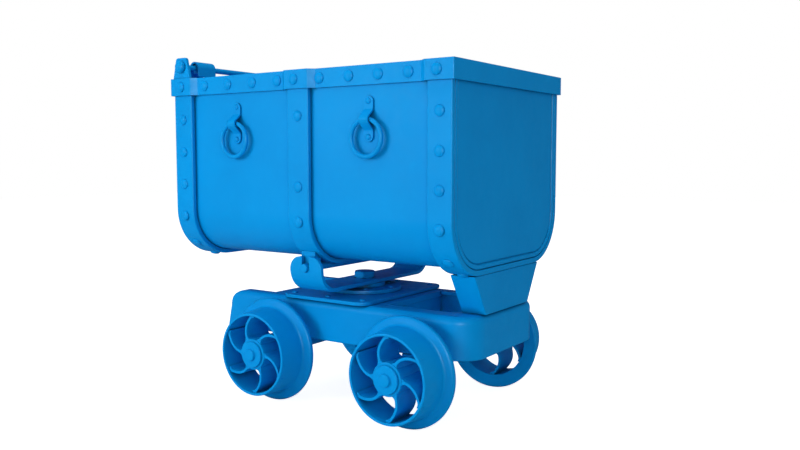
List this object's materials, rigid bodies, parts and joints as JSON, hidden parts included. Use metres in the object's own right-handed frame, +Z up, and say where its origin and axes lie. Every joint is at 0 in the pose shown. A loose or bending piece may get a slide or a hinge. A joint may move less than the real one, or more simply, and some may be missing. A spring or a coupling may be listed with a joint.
{
  "type": "mine cart",
  "caption": "Small rail mine cart: riveted round-bottomed steel tub with a hinged end door, tipping on a rod in a swivelling cradle over a four-wheeled frame with spoked flanged wheels.",
  "frame": {"origin": "on the centre line under the king bolt, level with the lowest point of the wheel flanges", "axes": "+X along the cart towards the closed end of the tub, +Y across to the far side, +Z up"},
  "size_m": [1.2363, 0.8226, 1.215],
  "materials": {
    "blue_paint": "satin bright blue paint over steel and cast iron",
    "bronze": "machined bearing bronze, hidden in the hubs"
  },
  "bodies": {
    "chassis": {"frame": "blue_paint", "bolster": "blue_paint", "frame_tie_bar": "blue_paint", "turntable_plate": "blue_paint", "turntable_disc": "blue_paint", "king_bolt": "blue_paint", "king_nut": "blue_paint", "axle_door_end": "blue_paint", "axle_cap_near_door_end": "blue_paint", "pedestal_near_door_end": "blue_paint", "axle_cap_far_door_end": "blue_paint", "pedestal_far_door_end": "blue_paint", "axle_closed_end": "blue_paint", "axle_cap_near_closed_end": "blue_paint", "pedestal_near_closed_end": "blue_paint", "axle_cap_far_closed_end": "blue_paint", "pedestal_far_closed_end": "blue_paint"},
    "swivel": {"cradle": "blue_paint", "swivel_washer": "blue_paint"},
    "tub": {"tub_shell": "blue_paint", "tub_end_plate": "blue_paint", "strap_door_end": "blue_paint", "strap_middle": "blue_paint", "strap_closed_end": "blue_paint", "rim_band": "blue_paint", "trunnion_rod": "blue_paint", "rest_foot": "blue_paint", "hinge_lug_near": "blue_paint", "hinge_lug_far": "blue_paint", "hinge_rod": "blue_paint", "rod_saddle_near": "blue_paint", "rod_saddle_far": "blue_paint", "eye_strap_near_door_end": "blue_paint", "eye_strap_near_closed_end": "blue_paint", "eye_strap_far_door_end": "blue_paint", "eye_strap_far_closed_end": "blue_paint"},
    "door": {"door_plate": "blue_paint", "door_bar": "blue_paint", "door_handle": "blue_paint", "hinge_strap_near": "blue_paint", "hinge_strap_far": "blue_paint", "hinge_sleeve_near": "blue_paint", "hinge_sleeve_far": "blue_paint"},
    "wheel_near_door_end": {"wheel_near_door_end": "blue_paint", "bush_near_door_end": "bronze"},
    "wheel_near_closed_end": {"wheel_near_closed_end": "blue_paint", "bush_near_closed_end": "bronze"},
    "wheel_far_door_end": {"wheel_far_door_end": "blue_paint", "bush_far_door_end": "bronze"},
    "wheel_far_closed_end": {"wheel_far_closed_end": "blue_paint", "bush_far_closed_end": "bronze"},
    "ring_near_door_end": {"ring_near_door_end": "blue_paint"},
    "ring_near_closed_end": {"ring_near_closed_end": "blue_paint"},
    "ring_far_door_end": {"ring_far_door_end": "blue_paint"},
    "ring_far_closed_end": {"ring_far_closed_end": "blue_paint"}
  },
  "joints": [
    {"name": "wheel_near_door_end_spin", "type": "hinge", "parent": "chassis", "child": "wheel_near_door_end", "pos_m": [-0.189, -0.34, 0.181], "axis": [0, 1, 0], "continuous": true},
    {"name": "wheel_near_closed_end_spin", "type": "hinge", "parent": "chassis", "child": "wheel_near_closed_end", "pos_m": [0.377, -0.34, 0.181], "axis": [0, 1, 0], "continuous": true},
    {"name": "wheel_far_door_end_spin", "type": "hinge", "parent": "chassis", "child": "wheel_far_door_end", "pos_m": [-0.189, 0.34, 0.181], "axis": [0, 1, 0], "continuous": true},
    {"name": "wheel_far_closed_end_spin", "type": "hinge", "parent": "chassis", "child": "wheel_far_closed_end", "pos_m": [0.377, 0.34, 0.181], "axis": [0, 1, 0], "continuous": true},
    {"name": "turntable_swivel", "type": "hinge", "parent": "chassis", "child": "swivel", "pos_m": [0, 0, 0.4039], "axis": [0, 0, 1], "range_deg": [-90, 90]},
    {"name": "tub_tip", "type": "hinge", "parent": "swivel", "child": "tub", "pos_m": [0, 0, 0.489], "axis": [0, -1, 0], "range_deg": [0, 15]},
    {"name": "door_swing", "type": "hinge", "parent": "tub", "child": "door", "pos_m": [-0.546, 0, 1.1825], "axis": [0, 1, 0], "range_deg": [0, 75]},
    {"name": "ring_near_door_end_swing", "type": "hinge", "parent": "tub", "child": "ring_near_door_end", "pos_m": [-0.287, -0.368, 0.975], "axis": [-1, 0, 0], "range_deg": [-4, 70]},
    {"name": "ring_near_closed_end_swing", "type": "hinge", "parent": "tub", "child": "ring_near_closed_end", "pos_m": [0.282, -0.368, 0.975], "axis": [-1, 0, 0], "range_deg": [-4, 70]},
    {"name": "ring_far_door_end_swing", "type": "hinge", "parent": "tub", "child": "ring_far_door_end", "pos_m": [-0.287, 0.368, 0.975], "axis": [1, 0, 0], "range_deg": [-4, 70]},
    {"name": "ring_far_closed_end_swing", "type": "hinge", "parent": "tub", "child": "ring_far_closed_end", "pos_m": [0.282, 0.368, 0.975], "axis": [1, 0, 0], "range_deg": [-4, 70]}
  ]
}
